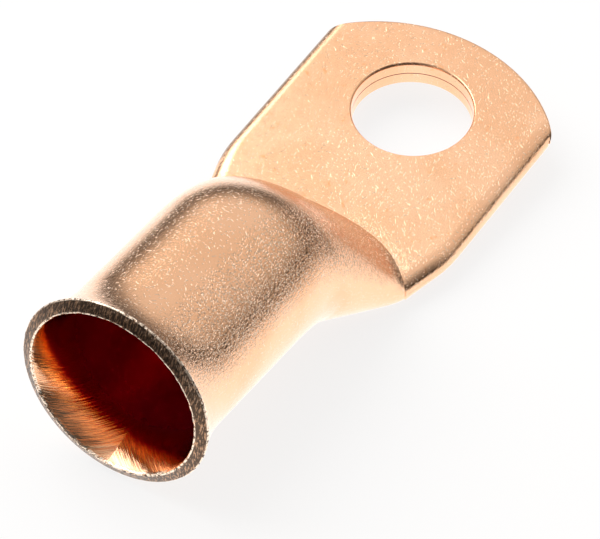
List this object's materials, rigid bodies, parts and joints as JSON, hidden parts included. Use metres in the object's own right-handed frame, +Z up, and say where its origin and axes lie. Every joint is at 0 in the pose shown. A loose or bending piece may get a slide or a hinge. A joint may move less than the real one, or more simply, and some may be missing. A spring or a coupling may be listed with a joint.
{
  "type": "cable lug",
  "caption": "Copper tube cable lug with a belled mouth, a round barrel and a flat pressed palm with a stud hole.",
  "frame": {"origin": "centre of the stud hole on the palm's underside", "axes": "+X along the lug from the cable end to the sheared end, +Y across it, +Z up as it lies on a bench; it rests on its bell and heel, so the palm leans 4.3 degrees up towards +X"},
  "size_m": [0.0563, 0.0228, 0.0177],
  "materials": {
    "copper": "bright drawn copper with fine handling scratches, bare and uncoated"
  },
  "bodies": {
    "root": {"lug": "copper"}
  },
  "joints": []
}
